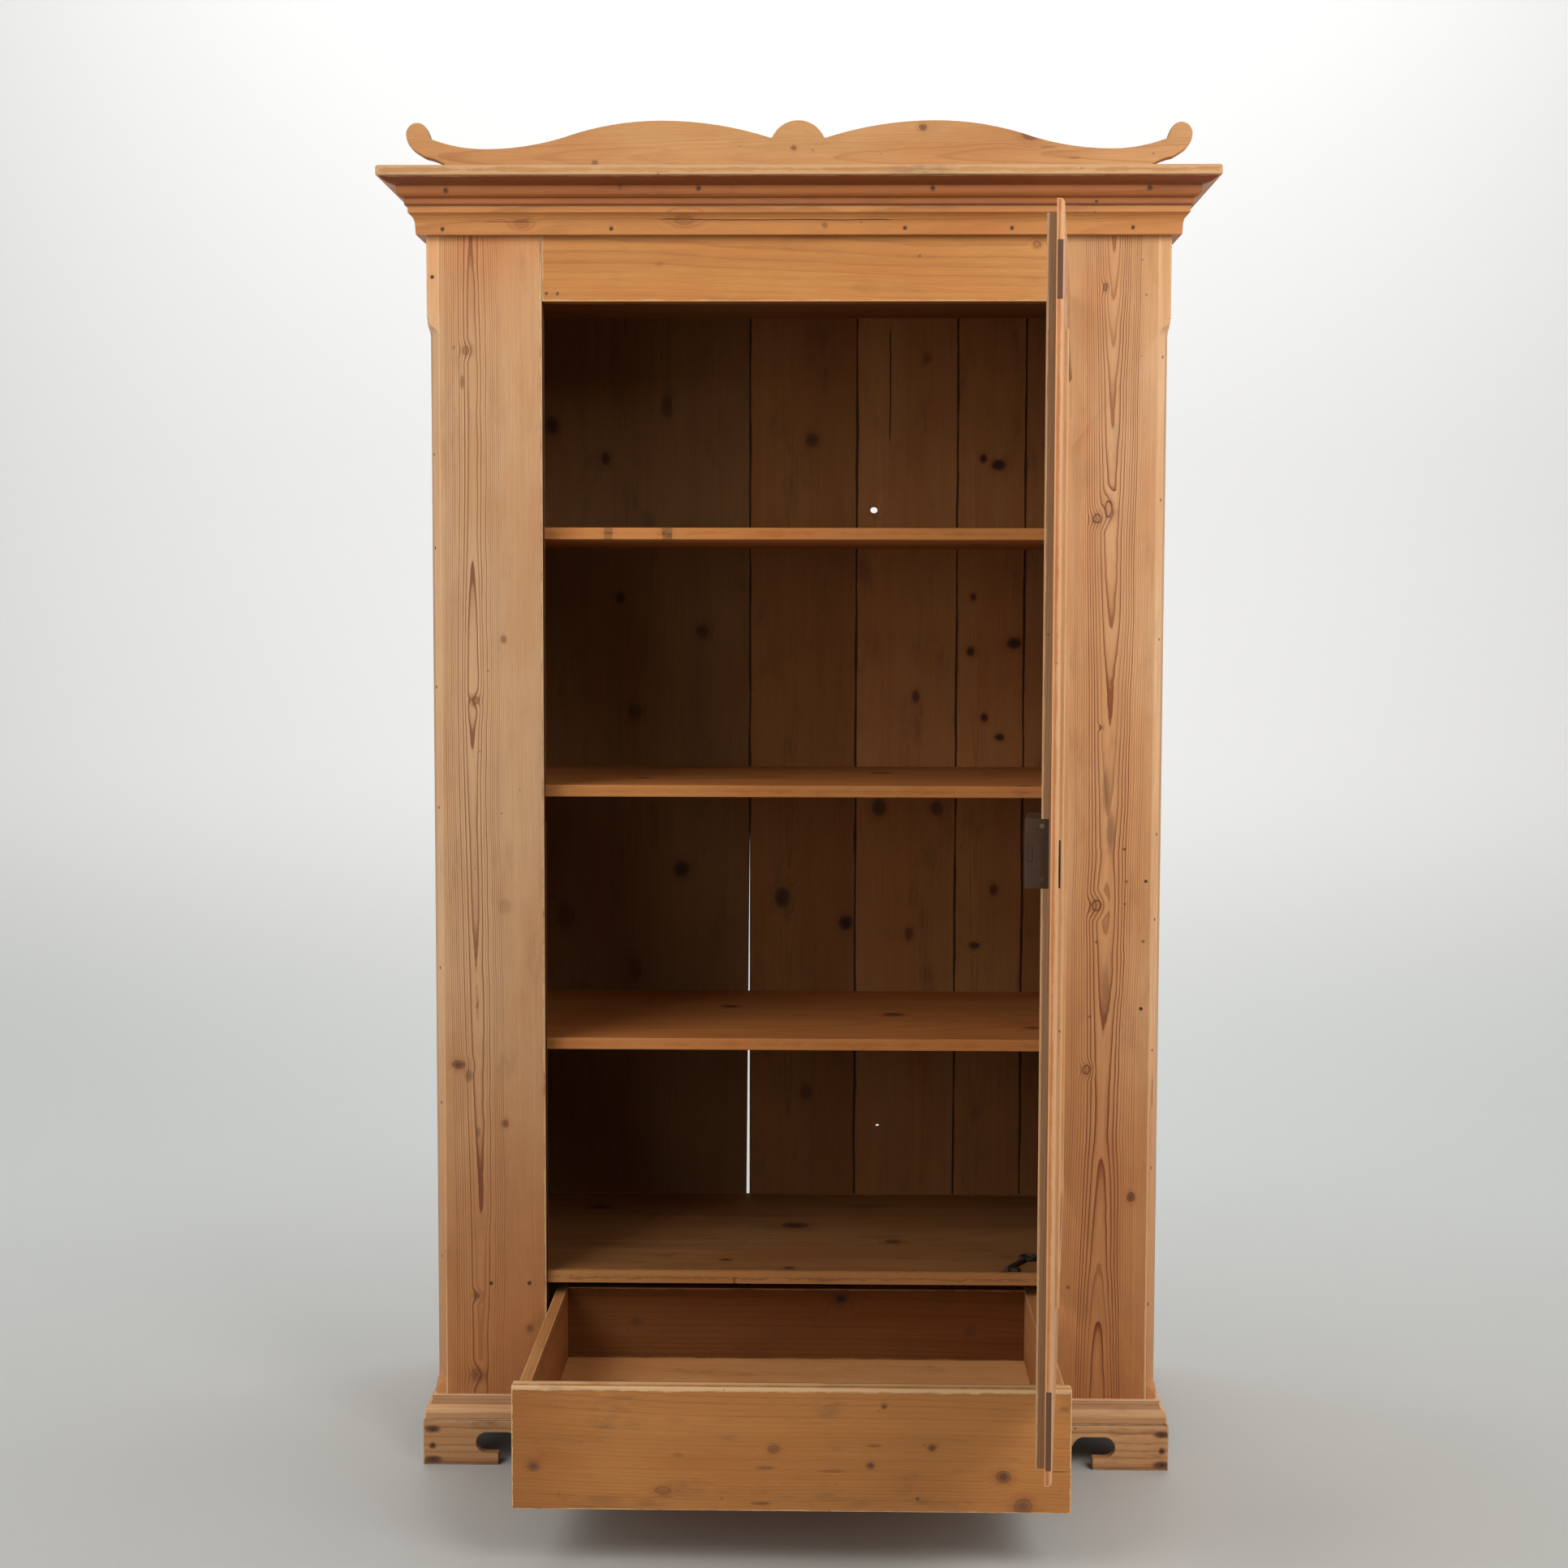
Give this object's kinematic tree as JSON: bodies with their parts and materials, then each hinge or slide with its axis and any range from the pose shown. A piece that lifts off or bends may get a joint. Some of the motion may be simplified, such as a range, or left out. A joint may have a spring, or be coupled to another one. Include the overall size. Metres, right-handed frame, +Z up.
{
  "type": "wardrobe",
  "caption": "Free-standing pine wardrobe with a hinged panelled door, loose shelves, a deep drawer below, a moulded cornice and a sawn crest.",
  "frame": {"origin": "on the floor, under the middle of the box round the wardrobe with its door and drawer open as pictured", "axes": "+X to the viewer's right across the front, +Y towards the back, +Z up"},
  "size_m": [1.092, 1.1717, 1.7975],
  "materials": {
    "carcase_front": "waxed pine, warm honey brown",
    "carcase_side": "waxed pine, warm honey brown",
    "cornice": "waxed pine, lighter honey",
    "crest": "waxed pine, lighter honey",
    "crest_blocks": "bare pine, darkened by age",
    "base_moulding": "waxed pine, worn",
    "plinth": "waxed pine, worn, nail stains",
    "inside_boards": "bare pine, darkened by age, pale worn edges",
    "back_boards": "bare pine, dark warm brown",
    "rough_pine": "rough bare pine, darkened by age",
    "door_frame": "waxed pine, warm honey brown",
    "door_panel": "waxed pine",
    "panel_moulding": "waxed pine, pale worn arrises",
    "drawer_front": "waxed pine, knotty, pale worn top edge",
    "drawer_box": "bare pine, darkened by age",
    "iron": "dark iron, dull, a little rust",
    "hinge_iron": "dark iron, worn",
    "key_iron": "dark iron, handled"
  },
  "bodies": {
    "carcase": {"left_stile": "carcase_front", "right_stile": "carcase_front", "lintel": "carcase_front", "left_side": "carcase_side", "right_side": "carcase_side", "top_board": "cornice", "crown_moulding_front": "cornice", "crown_moulding_left": "cornice", "crown_moulding_right": "cornice", "bed_moulding_front": "cornice", "bed_moulding_left": "cornice", "bed_moulding_right": "cornice", "crest_board": "crest", "crest_blocks": "crest_blocks", "base_moulding_front_left": "base_moulding", "base_moulding_front_right": "base_moulding", "base_moulding_left": "base_moulding", "base_moulding_right": "base_moulding", "plinth_front": "plinth", "plinth_left": "plinth", "plinth_right": "plinth", "ceiling_board": "inside_boards", "bottom_board": "inside_boards", "shelf_1": "inside_boards", "shelf_2": "inside_boards", "shelf_3": "inside_boards", "back_board_1": "back_boards", "back_board_2": "back_boards", "back_board_3": "back_boards", "back_board_4": "back_boards", "back_board_5": "back_boards", "shelf_cleats": "rough_pine", "foot_blocks": "rough_pine", "drawer_rail": "rough_pine", "back_rail": "rough_pine", "left_runner": "rough_pine", "right_runner": "rough_pine", "drawer_guides": "rough_pine", "drawer_stops": "rough_pine", "keeper_plate": "iron", "lower_hinge_frame_half": "hinge_iron", "upper_hinge_frame_half": "hinge_iron", "key": "key_iron"},
    "door": {"door_lock_stile": "door_frame", "door_hinge_stile": "door_frame", "door_top_rail": "door_frame", "door_bottom_rail": "door_frame", "door_panel": "door_panel", "door_panel_moulding": "panel_moulding", "lock_case": "iron", "escutcheon": "iron", "lower_hinge_door_half": "hinge_iron", "upper_hinge_door_half": "hinge_iron"},
    "bolt": {"lock_bolt": "iron"},
    "drawer": {"drawer_front": "drawer_front", "drawer_left_side": "drawer_box", "drawer_right_side": "drawer_box", "drawer_back": "drawer_box", "drawer_bottom": "drawer_box"}
  },
  "joints": [
    {"name": "door_hinge", "type": "hinge", "parent": "carcase", "child": "door", "pos_m": [0.3533, 0.11261, 0], "axis": [0, 0, 1], "range_deg": [-83.7, 86]},
    {"name": "drawer_slide", "type": "slide", "parent": "carcase", "child": "drawer", "axis": [0, -1, 0], "range_m": [-0.375, 0.02]},
    {"name": "lock_bolt_slide", "type": "slide", "parent": "door", "child": "bolt", "axis": [-0.1097, -0.994, 0], "range_m": [0, 0.012]}
  ]
}
